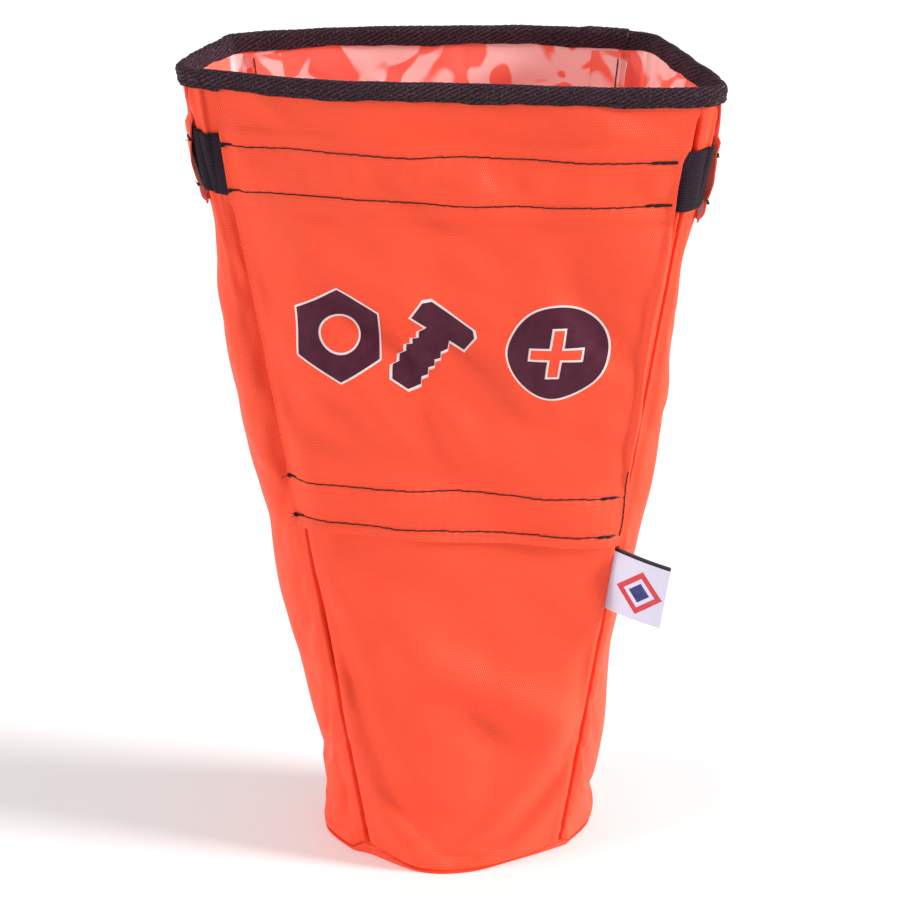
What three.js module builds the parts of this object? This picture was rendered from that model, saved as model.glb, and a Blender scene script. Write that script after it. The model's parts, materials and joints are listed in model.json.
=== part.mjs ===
// Debris collection pouch: a tapered, open-topped bag of coated fabric that stands on its base.
// Four wall panels, a base, a front apron and a back yoke that carry a webbing band, a bound rim,
// three printed emblems, a side label and the thread rows that hold it all together.
// Millimetres, +Z up. The front faces -Y and the floor is z = 0.

import * as THREE from 'three';

// ---- Driving dimensions -------------------------------------------------------------------

const HEIGHT = 325; // floor to the top of the rim binding
const FABRIC = 1.2; // thickness allowed for one layer of coated fabric
const GAP = 0.3; // clearance between pieces that lie on each other
const THREAD = 0.6; // thickness of a sewn row

const BASE_THICKNESS = 1.2;
const BINDING_DEPTH = 9; // how far the folded tape reaches down each side of the edge
const BINDING_TAPE = 1.2;

const WEBBING_WIDTH = 25.4; // 1 inch webbing
const WEBBING_THICKNESS = 1.4;
const WEBBING_CENTRE_Z = 289.3;
const ROW_INSET = 4.1; // webbing edge to the row that sews it in

const APRON_HEM_Z = 146.5; // free lower edge of the apron
const HEM_ROWS_Z = [150.5, 166.5];
const YOKE_EDGE_Z = 272.5; // free lower edge of the back yoke

const LABEL_WIDTH = 24;
const LABEL_HEIGHT = 26;
const LABEL_THICKNESS = 0.5;
const LABEL_CENTRE_Z = 125;
const LABEL_YAW = -25 * Math.PI / 180; // swung forward of the straight sideways direction

const EMBLEM_THICKNESS = 0.4;
const EMBLEM_OUTLINE = 0.8; // width of the pale rim around each emblem
const EMBLEM_SLOPE = -2.2 * Math.PI / 180; // the row of emblems runs slightly downhill
const BOLT_TURN = -35 * Math.PI / 180;

// The plan of the bag at the rim and at the base. Each wall runs between two corners and swells
// out from the straight line between them by the three amounts given, at its three stations.
const PANEL_STATIONS = [0.25, 0.5, 0.75];
const GUSSET_STATIONS = [0.12, 0.5, 0.86];
const RIM_PLAN = {
  frontLeft: [-83.6, -14.4], frontRight: [90, -33.9], backRight: [67.4, 31], backLeft: [-78, 27],
  front: [7, 5, 4.5], right: [8, 8, 7], back: [6.5, 6, 5], left: [6, 12.5, 14.6],
};
const BASE_PLAN = {
  frontLeft: [-31.7, -24.5], frontRight: [43.5, -19], backRight: [45, 24], backLeft: [-35, 24],
  front: [14, 15.6, 8.5], right: [5.5, 13.5, 10.5], back: [8.5, 11.5, 8.5], left: [7, 17.5, 8.5],
};

// Seam numbers along the plan curve, four stations to a wall, counter-clockwise from above.
const FRONT_LEFT = 0;
const FRONT_RIGHT = 4;
const BACK_RIGHT = 8;
const BACK_LEFT = 12;
const ALL_ROUND = 16;
const CUTS = 5; // facets from one station to the next
const APRON_SIDES = [FRONT_LEFT + 0.03, FRONT_RIGHT - 0.08];
const YOKE_SIDES = [FRONT_RIGHT + 1.3, ALL_ROUND - 1];

// Distances outward from the middle of the wall fabric to each layer that lies on it.
const WALL = [-FABRIC / 2, FABRIC / 2];
const WEBBING = [WALL[1] + GAP, WALL[1] + GAP + WEBBING_THICKNESS];
const OVERLAY = [WALL[1] + 0.4, WALL[1] + 0.4 + 1];
const RAISED_OVERLAY = [WEBBING[1] + 0.4, WEBBING[1] + 0.4 + 1];
const HEM_OUT = OVERLAY[1] + 0.6; // the turned-up hem is thicker

const webbingLow = WEBBING_CENTRE_Z - WEBBING_WIDTH / 2;
const webbingHigh = WEBBING_CENTRE_Z + WEBBING_WIDTH / 2;
const wallTop = HEIGHT - BINDING_TAPE - GAP - 0.2;

// ---- The surface of the bag ---------------------------------------------------------------

function wallPoints(from, to, swell, stations) {
  const start = new THREE.Vector2(...from);
  const end = new THREE.Vector2(...to);
  const along = end.clone().sub(start).normalize();
  const outward = new THREE.Vector2(along.y, -along.x);
  const inner = stations.map((station, i) =>
    start.clone().lerp(end, station).addScaledVector(outward, swell[i]));
  return [start, ...inner];
}

function planCurve(plan) {
  const fromFarEnd = GUSSET_STATIONS.map((station) => 1 - station).reverse();
  const points = [
    ...wallPoints(plan.frontLeft, plan.frontRight, plan.front, PANEL_STATIONS),
    ...wallPoints(plan.frontRight, plan.backRight, plan.right, GUSSET_STATIONS),
    ...wallPoints(plan.backRight, plan.backLeft, plan.back, PANEL_STATIONS),
    ...wallPoints(plan.backLeft, plan.frontLeft, plan.left, fromFarEnd),
  ];
  const inSpace = points.map((point) => new THREE.Vector3(point.x, point.y, 0));
  return new THREE.CatmullRomCurve3(inSpace, true, 'catmullrom', 0.5);
}

const rimCurve = planCurve(RIM_PLAN);
const baseCurve = planCurve(BASE_PLAN);

function wallCentre(station, z) {
  const share = ((station / ALL_ROUND) % 1 + 1) % 1;
  const point = baseCurve.getPoint(share).lerp(rimCurve.getPoint(share), z / HEIGHT);
  return point.setZ(z);
}

function wallTangent(station, z) {
  const step = 0.02;
  return wallCentre(station + step, z).sub(wallCentre(station - step, z)).normalize();
}

// The point that lies `out` millimetres outside the middle of the wall.
function wallPoint(station, z, out) {
  const tangent = wallTangent(station, z);
  const outward = new THREE.Vector3(tangent.y, -tangent.x, 0);
  return wallCentre(station, z).addScaledVector(outward, out);
}

// ---- Solids that follow the wall ----------------------------------------------------------

// Every layer is cut at the same stations, so layers that lie on each other keep their clearance.
function stationsBetween(from, to) {
  const stations = [from];
  for (let cut = Math.floor(from * CUTS) + 1; cut / CUTS < to; cut += 1) {
    stations.push(cut / CUTS);
  }
  stations.push(to);
  return stations;
}

// Sweeps a closed section of [out, z] points round the bag from one station to another.
// The section runs counter-clockwise when out is to the right and z is up.
function sweep(section, from, to) {
  const closed = to - from === ALL_ROUND;
  const stations = stationsBetween(from, to);
  const steps = stations.length - 1;
  const rows = closed ? steps : steps + 1;
  const positions = [];
  for (const station of stations.slice(0, rows)) {
    for (const [out, z] of section) {
      positions.push(...wallPoint(station, z, out).toArray());
    }
  }
  const count = section.length;
  const indices = [];
  for (let row = 0; row < steps; row += 1) {
    for (let i = 0; i < count; i += 1) {
      const a = row * count + i;
      const b = row * count + (i + 1) % count;
      const c = ((row + 1) % rows) * count + (i + 1) % count;
      const d = ((row + 1) % rows) * count + i;
      indices.push(a, d, b, d, c, b);
    }
  }
  if (!closed) {
    const contour = section.map(([out, z]) => new THREE.Vector2(out, z));
    const last = (rows - 1) * count;
    for (const [a, b, c] of THREE.ShapeUtils.triangulateShape(contour, [])) {
      indices.push(a, b, c, last + a, last + c, last + b);
    }
  }
  const geometry = new THREE.BufferGeometry();
  geometry.setAttribute('position', new THREE.Float32BufferAttribute(positions, 3));
  geometry.setIndex(indices);
  geometry.computeVertexNormals();
  return geometry;
}

// A sheet's section from its inner and outer distances at rising heights.
function sheetSection(levels) {
  const outer = levels.map(([z, , out]) => [out, z]);
  const inner = levels.map(([z, back]) => [back, z]).reverse();
  return [...outer, ...inner];
}

function sheet(levels, from, to) {
  return sweep(sheetSection(levels), from, to);
}

function evenLevels(low, high, count, [back, out]) {
  return Array.from({ length: count + 1 }, (_, i) => [low + (high - low) * i / count, back, out]);
}

function threadRow(z, surface, from, to) {
  const layer = [surface + GAP, surface + GAP + THREAD];
  return sheet(evenLevels(z - THREAD / 2, z + THREAD / 2, 1, layer), from, to);
}

// ---- Finish -------------------------------------------------------------------------------

const finishes = {
  fabric: new THREE.MeshStandardMaterial({ color: '#fa5c42', roughness: 0.55, metalness: 0 }),
  tape: new THREE.MeshStandardMaterial({ color: '#2a2024', roughness: 0.8, metalness: 0 }),
  webbing: new THREE.MeshStandardMaterial({ color: '#2e2a30', roughness: 0.7, metalness: 0 }),
  thread: new THREE.MeshStandardMaterial({ color: '#1c1719', roughness: 0.6, metalness: 0 }),
  print: new THREE.MeshStandardMaterial({ color: '#3b1a35', roughness: 0.45, metalness: 0 }),
  outline: new THREE.MeshStandardMaterial({ color: '#ecd3cf', roughness: 0.5, metalness: 0 }),
  label: new THREE.MeshStandardMaterial({ color: '#dcd9ee', roughness: 0.4, metalness: 0 }),
};

const pouch = new THREE.Group();

function add(name, geometry, finish) {
  const mesh = new THREE.Mesh(geometry, finishes[finish]);
  mesh.name = name;
  pouch.add(mesh);
  return mesh;
}

// ---- Walls and base -----------------------------------------------------------------------

function addWalls() {
  const levels = [
    ...evenLevels(BASE_THICKNESS + 0.4, webbingLow, 5, WALL),
    [webbingHigh, ...WALL],
    [wallTop, ...WALL],
  ];
  const panelGap = 0.012;
  const gussetGap = 0.03;
  add('front_panel', sheet(levels, FRONT_LEFT + panelGap, FRONT_RIGHT - panelGap), 'fabric');
  add('right_gusset', sheet(levels, FRONT_RIGHT + gussetGap, BACK_RIGHT - gussetGap), 'fabric');
  add('back_panel', sheet(levels, BACK_RIGHT + panelGap, BACK_LEFT - panelGap), 'fabric');
  add('left_gusset', sheet(levels, BACK_LEFT + gussetGap, ALL_ROUND - gussetGap), 'fabric');
}

function addBase() {
  const outline = new THREE.Shape();
  const corners = 48;
  for (let i = 0; i < corners; i += 1) {
    const point = wallPoint(ALL_ROUND * i / corners, 0, WALL[1]);
    if (i === 0) {
      outline.moveTo(point.x, point.y);
    } else {
      outline.lineTo(point.x, point.y);
    }
  }
  outline.closePath();
  const plate = new THREE.ExtrudeGeometry(outline, { depth: BASE_THICKNESS, bevelEnabled: false });
  add('base_panel', plate, 'fabric');
}

// ---- Rim, webbing and the layers over it --------------------------------------------------

function addRimBinding() {
  const reach = HEIGHT - BINDING_DEPTH;
  const bridge = HEIGHT - BINDING_TAPE;
  const outer = OVERLAY[1] + GAP + 0.1;
  const inner = WALL[0] - GAP - 0.1;
  const shoulder = 0.9;
  const section = [
    [inner, reach], [inner, bridge], [outer, bridge], [outer, reach],
    [outer + BINDING_TAPE, reach], [outer + BINDING_TAPE, HEIGHT - shoulder], [outer, HEIGHT],
    [inner, HEIGHT], [inner - BINDING_TAPE, HEIGHT - shoulder], [inner - BINDING_TAPE, reach],
  ];
  add('rim_binding', sweep(section, 0, ALL_ROUND), 'tape');
  add('binding_thread', threadRow(reach + 2.5, outer + BINDING_TAPE, 0, ALL_ROUND), 'thread');
}

function addWebbing() {
  const levels = evenLevels(webbingLow, webbingHigh, 1, WEBBING);
  add('webbing_band', sheet(levels, 0, ALL_ROUND), 'webbing');
}

// An overlay steps out over the webbing and back in under the rim binding.
function overWebbing(first) {
  return [
    ...first,
    [webbingLow - 1.2, ...RAISED_OVERLAY],
    [webbingHigh + 1.2, ...RAISED_OVERLAY],
    [webbingHigh + 6, ...OVERLAY],
    [wallTop, ...OVERLAY],
  ];
}

function addOverlays() {
  const hemTop = HEM_ROWS_Z[1] + 2.5;
  const apron = overWebbing([
    [APRON_HEM_Z, OVERLAY[0], HEM_OUT],
    [hemTop, OVERLAY[0], HEM_OUT],
    [hemTop + 1.5, ...OVERLAY],
    [webbingLow - 7, ...OVERLAY],
  ]);
  add('front_apron', sheet(apron, ...APRON_SIDES), 'fabric');
  const yoke = overWebbing([[YOKE_EDGE_Z, ...RAISED_OVERLAY]]);
  add('back_yoke', sheet(yoke, ...YOKE_SIDES), 'fabric');
}

// ---- Thread rows --------------------------------------------------------------------------

function addWebbingRows() {
  const rows = { upper: webbingHigh - ROW_INSET, lower: webbingLow + ROW_INSET };
  const margin = 0.1;
  for (const [place, z] of Object.entries(rows)) {
    const apronEnds = [APRON_SIDES[0] + margin, APRON_SIDES[1] - margin];
    const yokeEnds = [YOKE_SIDES[0] + margin, YOKE_SIDES[1] - margin];
    add(`apron_thread_${place}`, threadRow(z, RAISED_OVERLAY[1], ...apronEnds), 'thread');
    add(`yoke_thread_${place}`, threadRow(z, RAISED_OVERLAY[1], ...yokeEnds), 'thread');
  }
}

function addHemRows() {
  const [low, high] = HEM_ROWS_Z;
  const ends = [APRON_SIDES[0] + 0.05, APRON_SIDES[1] - 0.12];
  add('hem_thread_lower', threadRow(low, HEM_OUT, ...ends), 'thread');
  add('hem_thread_upper', threadRow(high, HEM_OUT, ...ends), 'thread');
  const side = evenLevels(low, high, 1, [HEM_OUT + GAP, HEM_OUT + GAP + THREAD]);
  add('hem_thread_side', sheet(side, ends[1] + 0.03, ends[1] + 0.06), 'thread');
}

// Each corner seam is topstitched through its turned-in allowance, inside the bag.
function addSeamRows() {
  const seams = {
    front_left: FRONT_LEFT + 0.09, front_right: FRONT_RIGHT - 0.09,
    back_right: BACK_RIGHT + 0.1, back_left: BACK_LEFT - 0.1,
  };
  const out = WALL[0] - GAP;
  const levels = evenLevels(BASE_THICKNESS + 8, HEIGHT - BINDING_DEPTH - 2, 2, [out - THREAD, out]);
  for (const [corner, station] of Object.entries(seams)) {
    add(`seam_thread_${corner}`, sheet(levels, station - 0.012, station + 0.012), 'thread');
  }
  const ring = evenLevels(BASE_THICKNESS + 4, BASE_THICKNESS + 4 + THREAD, 1, [out - THREAD, out]);
  add('base_seam_thread', sheet(ring, 0, ALL_ROUND), 'thread');
}

// ---- Emblems ------------------------------------------------------------------------------

function boltShape(grow) {
  const head = { half: 11.6 + grow, low: 8.2 - grow, high: 17 + grow, chamfer: 2.4 };
  const shank = { half: 6.3 + grow, tooth: 1.4, turns: 5, pitch: 4.6, tip: -17.4 - grow };
  const right = [
    [head.half - head.chamfer, head.high], [head.half, head.high - head.chamfer], [head.half, head.low],
    [shank.half - shank.tooth, head.low],
  ];
  for (let turn = 0; turn < shank.turns; turn += 1) {
    const z = head.low - 1.2 - turn * shank.pitch;
    right.push([shank.half, z - shank.pitch * 0.35]);
    right.push([shank.half - shank.tooth, z - shank.pitch * 0.85]);
  }
  right.push([shank.half - shank.tooth - 1.4, shank.tip]);
  const left = right.map(([x, z]) => [-x, z]).reverse();
  return new THREE.Shape([...left, ...right].map(([x, z]) => new THREE.Vector2(x, z)));
}

function nutShape(grow) {
  const radius = 17.4 + grow * 1.15;
  const shape = new THREE.Shape();
  for (let side = 0; side < 6; side += 1) {
    const angle = Math.PI / 2 + side * Math.PI / 3;
    const corner = [radius * Math.cos(angle), radius * Math.sin(angle)];
    if (side === 0) {
      shape.moveTo(...corner);
    } else {
      shape.lineTo(...corner);
    }
  }
  shape.closePath();
  shape.holes.push(new THREE.Path().absarc(0, 0, 7.6 - grow, 0, 2 * Math.PI, true));
  return shape;
}

function screwHeadShape(grow) {
  const shape = new THREE.Shape().absarc(0, 0, 17.6 + grow, 0, 2 * Math.PI, false);
  const long = 9.6 - grow;
  const half = 2.6 - grow;
  const cross = [
    [half, half], [long, half], [long, -half], [half, -half], [half, -long], [-half, -long],
    [-half, -half], [-long, -half], [-long, half], [-half, half], [-half, long], [half, long],
  ];
  shape.holes.push(new THREE.Path(cross.map(([x, z]) => new THREE.Vector2(x, z))));
  return shape;
}

// Lays a flat plate on the apron: x along the wall, y up it, z out of it.
function layOnApron(mesh, { station, z, turn }, out) {
  const across = wallTangent(station, z);
  const up = wallCentre(station, z + 1).sub(wallCentre(station, z - 1)).normalize();
  const outward = new THREE.Vector3().crossVectors(across, up).normalize();
  const upright = new THREE.Vector3().crossVectors(outward, across);
  const basis = new THREE.Matrix4().makeBasis(across, upright, outward);
  mesh.quaternion.setFromRotationMatrix(basis);
  mesh.rotateZ(EMBLEM_SLOPE + turn);
  mesh.position.copy(wallPoint(station, z, out));
}

function addEmblems() {
  const emblems = [
    { name: 'emblem_nut', shape: nutShape, station: 0.8, z: 229, turn: 0 },
    { name: 'emblem_bolt', shape: boltShape, station: 1.64, z: 224.2, turn: BOLT_TURN },
    { name: 'emblem_screw', shape: screwHeadShape, station: 2.97, z: 224, turn: 0 },
  ];
  const plate = { depth: EMBLEM_THICKNESS, bevelEnabled: false, curveSegments: 20 };
  const backing = OVERLAY[1] + GAP + 0.1;
  for (const emblem of emblems) {
    const { name, shape } = emblem;
    const rim = new THREE.ExtrudeGeometry(shape(EMBLEM_OUTLINE), plate);
    layOnApron(add(`${name}_outline`, rim, 'outline'), emblem, backing);
    const face = new THREE.ExtrudeGeometry(shape(0), plate);
    layOnApron(add(name, face, 'print'), emblem, backing + EMBLEM_THICKNESS + GAP);
  }
}

// ---- Label --------------------------------------------------------------------------------

function addLabel() {
  const root = wallPoint(FRONT_RIGHT, LABEL_CENTRE_Z, WALL[1] + 0.6);
  const up = wallCentre(FRONT_RIGHT, LABEL_CENTRE_Z + 1).sub(wallCentre(FRONT_RIGHT, LABEL_CENTRE_Z - 1));
  up.normalize();
  const sideways = new THREE.Vector3(Math.cos(LABEL_YAW), Math.sin(LABEL_YAW), 0);
  const back = new THREE.Vector3().crossVectors(up, sideways).normalize();
  const across = new THREE.Vector3().crossVectors(back, up);
  const basis = new THREE.Matrix4().makeBasis(across, back, up);
  const geometry = new THREE.BoxGeometry(LABEL_WIDTH, LABEL_THICKNESS, LABEL_HEIGHT);
  geometry.translate(LABEL_WIDTH / 2, 0, 0);
  const label = add('label_tab', geometry, 'label');
  label.quaternion.setFromRotationMatrix(basis);
  label.position.copy(root);
}

addWalls();
addBase();
addRimBinding();
addWebbing();
addOverlays();
addWebbingRows();
addHemRows();
addSeamRows();
addEmblems();
addLabel();

export default pouch;
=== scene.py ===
"""Debris collection pouch: sewn from coated orange fabric, with a bound rim and a webbing band.

Every soft piece is a surface over one shared wall: stations run round the bag (four to a wall,
from the front left seam, counter-clockwise from above) and heights run up it. A cloth simulation
gives that wall its drape, and each piece lies a stated distance outside it.
"""

import json
import math

import bmesh
import bpy
import numpy as np
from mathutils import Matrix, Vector


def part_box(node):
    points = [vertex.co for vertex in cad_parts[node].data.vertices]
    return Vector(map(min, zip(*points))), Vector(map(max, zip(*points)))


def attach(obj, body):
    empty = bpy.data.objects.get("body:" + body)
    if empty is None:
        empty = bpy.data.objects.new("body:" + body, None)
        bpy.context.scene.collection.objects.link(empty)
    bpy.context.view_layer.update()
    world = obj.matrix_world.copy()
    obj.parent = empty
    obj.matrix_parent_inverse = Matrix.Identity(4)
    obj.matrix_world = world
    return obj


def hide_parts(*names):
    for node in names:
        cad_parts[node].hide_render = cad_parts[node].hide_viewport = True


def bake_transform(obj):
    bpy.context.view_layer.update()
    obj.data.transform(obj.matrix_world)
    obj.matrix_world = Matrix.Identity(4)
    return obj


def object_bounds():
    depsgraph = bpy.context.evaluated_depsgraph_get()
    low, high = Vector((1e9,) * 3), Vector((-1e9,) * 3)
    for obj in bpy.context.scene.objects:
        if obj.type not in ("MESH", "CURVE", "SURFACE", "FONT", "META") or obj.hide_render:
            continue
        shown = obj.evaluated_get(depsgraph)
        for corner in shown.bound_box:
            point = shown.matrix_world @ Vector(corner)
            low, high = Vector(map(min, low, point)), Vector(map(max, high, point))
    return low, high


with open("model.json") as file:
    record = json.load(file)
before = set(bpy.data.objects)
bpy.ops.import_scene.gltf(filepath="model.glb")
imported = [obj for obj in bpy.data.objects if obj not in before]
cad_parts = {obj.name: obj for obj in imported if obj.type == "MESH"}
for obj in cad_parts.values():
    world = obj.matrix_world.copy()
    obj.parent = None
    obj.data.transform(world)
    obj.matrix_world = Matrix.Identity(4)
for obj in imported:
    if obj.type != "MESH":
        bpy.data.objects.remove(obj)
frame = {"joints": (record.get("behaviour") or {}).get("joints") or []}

cad_low, cad_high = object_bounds()
MM = 0.001
rng = np.random.default_rng(7)

# ---- Driving dimensions, millimetres --------------------------------------------------------

HEIGHT = cad_high.z / MM
FABRIC = 0.6
PANEL_STATIONS = (0.25, 0.5, 0.75)
GUSSET_STATIONS = (0.12, 0.5, 0.86)
RIM_PLAN = {
    # seam corners (x, y), then how far each wall swells out between them
    "front_left": (-83.6, -14.4), "front_right": (90.0, -33.9),
    "back_right": (67.4, 31.0), "back_left": (-78.0, 27.0),
    "front": (7, 5, 4.5), "right": (8, 8, 7), "back": (6.5, 6, 5), "left": (6, 12.5, 14.6),
}
BASE_PLAN = {
    "front_left": (-31.7, -24.5), "front_right": (43.5, -19),
    "back_right": (45, 24), "back_left": (-35, 24),
    "front": (14, 15.6, 8.5), "right": (5.5, 13.5, 10.5), "back": (8.5, 11.5, 8.5),
    "left": (7, 17.5, 8.5),
}
FRONT_LEFT, FRONT_RIGHT, BACK_RIGHT, BACK_LEFT, ALL_ROUND = 0, 4, 8, 12, 16
# The apron's and the yoke's side edges, as (height, station).
APRON_LEFT = ((147, -0.12), (175, -0.1), (206, -0.085), (241, -0.09), (278, -0.15), (300, -0.1),
              (325, -0.04))
APRON_RIGHT = ((147, 3.98), (175, 3.95), (206, 3.9), (255, 3.885), (280, 3.93), (299, 3.87), (306, 3.95),
               (325, 3.94))
YOKE_START = ((272, 4.63), (303, 4.6), (325, 4.35))
YOKE_END = ((272, 14.9), (300, 14.98), (325, 15.4))
# How far each gusset hangs out (+) or in (-) of a straight taper, as (height, millimetres).
LEFT_HANG = ((0, 0), (26, -3.7), (53, -2.8), (81, -1.7), (108, 1.4), (142, -0.2), (169, 2.6), (194, 3.5),
             (219, 3.5), (243, 1.0), (266, -1.5), (278, -2.0), (290, -1.2), (312, -1.6), (325, -1.0))
RIGHT_HANG = ((0, -1), (24, 0), (46, 0.2), (88, -3.2), (130, 1.1), (160, 3), (202, 2.4), (240, -1.5),
              (258, -2.2), (276, -0.2), (298, -1.3), (325, 0))
# Upright pleats where the gussets are gathered: station, height, width before it and after it.
PLEATS = ((15.6, 1.5, 0.26, 0.05), (15.22, 0.9, 0.1, 0.16), (14.75, 1.1, 0.06, 0.2), (14.2, 0.8, 0.12, 0.1),
          (13.1, 0.8, 0.2, 0.12), (4.4, 1.2, 0.06, 0.24), (4.85, 0.9, 0.12, 0.08), (5.2, 1.2, 0.08, 0.22),
          (6.1, 0.8, 0.12, 0.2), (7.2, 0.9, 0.16, 0.1))
RIPPLE = 0.35  # height of the finer ripples between them
# How far the base seam is lifted off the floor at the corners: station, millimetres.
BASE_LIFT = ((0, 4.2), (4, 2.2), (8, 2.6), (12, 3.0))

WEBBING_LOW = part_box("webbing_band")[0].z / MM
WEBBING_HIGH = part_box("webbing_band")[1].z / MM
WEBBING_THICKNESS = 1.3
APRON_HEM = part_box("front_apron")[0].z / MM
YOKE_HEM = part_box("back_yoke")[0].z / MM
STITCH_PITCH = 4.3
THREAD_RADIUS = 0.24
BINDING_DEPTH = 7.0
BINDING_TAPE = 1.2
RIB_SPACING = 3.2  # the tape's twill: spacing along it
RIB_RISE = 1.6  # and across it
ALLOWANCE_START, ALLOWANCE = 3.2, 10.8  # from the seam, then its width
SEAM_TUCK = 2.8  # how far a panel's edge turns in where it is seamed


def row_height(node):
    low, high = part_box(node)
    return (low.z + high.z) / 2 / MM


# ---- The wall -------------------------------------------------------------------------------

def wall_points(start, end, swell, stations):
    start, end = np.array(start, float), np.array(end, float)
    along = unit(end - start)
    outward = np.array([along[1], -along[0]])
    return [start] + [start + (end - start) * s + outward * w for s, w in zip(stations, swell)]


def plan_controls(plan):
    reverse = tuple(1 - s for s in reversed(GUSSET_STATIONS))
    points = wall_points(plan["front_left"], plan["front_right"], plan["front"], PANEL_STATIONS)
    points += wall_points(plan["front_right"], plan["back_right"], plan["right"], GUSSET_STATIONS)
    points += wall_points(plan["back_right"], plan["back_left"], plan["back"], PANEL_STATIONS)
    points += wall_points(plan["back_left"], plan["front_left"], plan["left"], reverse)
    return np.array(points)


def cubic_weights(f):
    return np.stack([
        -0.5 * f + f ** 2 - 0.5 * f ** 3,
        1 - 2.5 * f ** 2 + 1.5 * f ** 3,
        0.5 * f + 2 * f ** 2 - 1.5 * f ** 3,
        -0.5 * f ** 2 + 0.5 * f ** 3,
    ])


def unit(vectors):
    return vectors / np.linalg.norm(vectors, axis=-1, keepdims=True)


def travelled(points):
    """Distance along a line of points, at each of them."""
    return np.concatenate([[0], np.cumsum(np.linalg.norm(np.diff(points, axis=0), axis=1))])


def on_gusset(t):
    return (np.floor(t / 4).astype(int) % 2) == 1


def closed_spline(points, t):
    cell = np.floor(t).astype(int)
    weights = cubic_weights(t - cell)
    taps = [points[(cell + k - 1) % len(points)] * weights[k][..., None] for k in range(4)]
    return sum(taps)


rim_controls = plan_controls(RIM_PLAN)
base_controls = plan_controls(BASE_PLAN)


def loft(t, z):
    """The wall before draping, in millimetres."""
    share = (z / HEIGHT)[..., None]
    plan = closed_spline(rim_controls, t) * share + closed_spline(base_controls, t) * (1 - share)
    return np.concatenate([plan, z[..., None]], -1)


def station_length(t, z):
    """Millimetres of wall to one station, at a place."""
    return np.linalg.norm(loft(t + 0.02, z) - loft(t - 0.02, z), axis=-1) / 0.04


def smooth(low, high, x):
    s = np.clip((x - low) / (high - low), 0, 1)
    return s * s * (3 - 2 * s)


RIM_RISE, MIDDLE_OF_BACK = 1.2, 10.5  # millimetres, station


def rim_rise(t):
    """The bound rim stands a little higher at the back."""
    return RIM_RISE * hump(0, 2.6, around(t, MIDDLE_OF_BACK))


def never_below(x, softness=0.3):
    return (x + np.sqrt(x * x + softness)) / 2


def hump(centre, width, x):
    return np.exp(-((x - centre) / width) ** 2)


def smooth_table(points, softness):
    """A rounded-off line through (height, value) points, sampled every half millimetre."""
    heights = np.arange(0, HEIGHT + 0.5, 0.5)
    values = np.interp(heights, *zip(*points))
    reach = np.arange(-4 * softness, 4 * softness + 0.1, 0.5)
    kernel = np.exp(-(reach / softness) ** 2)
    padded = np.pad(values, len(reach) // 2, mode="edge")
    return heights, np.convolve(padded, kernel / kernel.sum(), mode="valid")[:len(heights)]


left_hang = smooth_table(LEFT_HANG, 5)
right_hang = smooth_table(RIGHT_HANG, 5)
apron_left = smooth_table(APRON_LEFT, 7)
apron_right = smooth_table(APRON_RIGHT, 3)
yoke_start = smooth_table(YOKE_START, 4)
yoke_end = smooth_table(YOKE_END, 4)


def gusset_hang(t, z):
    local = (t % 4) / 4
    hang = np.where(t % 16 > 8, np.interp(z, *left_hang), np.interp(z, *right_hang))
    ease = 0.28 + 0.08 * (1 - smooth(110, 190, z))  # share of the gusset's depth
    return np.where(on_gusset(t), hang * smooth(0, ease, local) * (1 - smooth(1 - ease, 1, local)), 0)


def around(t, station):
    """Signed distance in stations, the short way round."""
    return (t - station + ALL_ROUND / 2) % ALL_ROUND - ALL_ROUND / 2


def base_lift(t):
    return 0.9 + sum(lift * hump(0, 0.62, around(t, station)) for station, lift in BASE_LIFT)


def panel_station(z):
    """Millimetres of front or back wall to one station, roughly."""
    return 21 * (1 + z / HEIGHT)


def gusset_station(z):
    return 11 + 7 * z / HEIGHT


def seam_distance(t, z):
    """Millimetres round the wall to the nearest corner seam, roughly."""
    local = t % 4
    return np.minimum(local, 4 - local) * np.where(on_gusset(t), gusset_station(z), panel_station(z))


def crumple(u, v, seed, heading, shortest, longest, slope, count=7, spread=0.35):
    """Soft irregular folds. Heading is the direction across them, slope how steep they are."""
    chance = np.random.default_rng(seed)
    total = 0
    for _ in range(count):
        length = chance.uniform(shortest, longest)
        angle = heading + chance.normal() * spread
        offset, drift = chance.uniform(0, 2 * math.pi, 2)
        across = u * math.cos(angle) + v * math.sin(angle)
        along = v * math.cos(angle) - u * math.sin(angle)
        strength = slope * length / (2 * math.pi) * (0.6 + 0.4 * np.sin(along / length * 1.3 + drift))
        total = total + strength * np.sin(2 * math.pi * across / length + offset)
    return total * 1.4 / math.sqrt(count)


DIAGONAL = 0.75  # radians: the front's folds run down from left to right
SAG_HEIGHT, SAG_WIDTH = 2.8, 9
SAG_ACROSS = (0.485, 0.875)  # unit direction across the long sagging fold below the apron
SAG_PLACE = 98.7  # millimetres from the left seam's foot to that fold, along its direction


def wall_crumple(t, z):
    """Small folds in each wall, none at its seams, the bound rim or the base."""
    upright = crumple(t * gusset_station(z), z, 3, 0.12, 13, 34, 0.16, spread=0.2)
    upright = upright * (0.3 + 0.7 * smooth(120, 200, z))
    s = t * 20 * (1 + z / HEIGHT)
    broad = crumple(s, z, 5, DIAGONAL, 24, 60, 0.18)
    sagging = SAG_HEIGHT * hump(SAG_PLACE, SAG_WIDTH, s * SAG_ACROSS[0] + z * SAG_ACROSS[1])
    sagging = sagging * smooth(6, 40, s) * (1 - smooth(80, 104, s))
    height = np.where(on_gusset(t), upright, broad + sagging)
    held = 1 - np.exp(-(seam_distance(t, z) / 5) ** 2)
    return height * held * smooth(4, 30, z) * (1 - smooth(HEIGHT - 24, HEIGHT - 8, z))


# Draping field, filled by the simulation: displacement at even stations and heights.
DRAPE_COLUMNS, DRAPE_ROWS = 176, 100
drape = np.zeros((DRAPE_COLUMNS, DRAPE_ROWS, 3))


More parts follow.
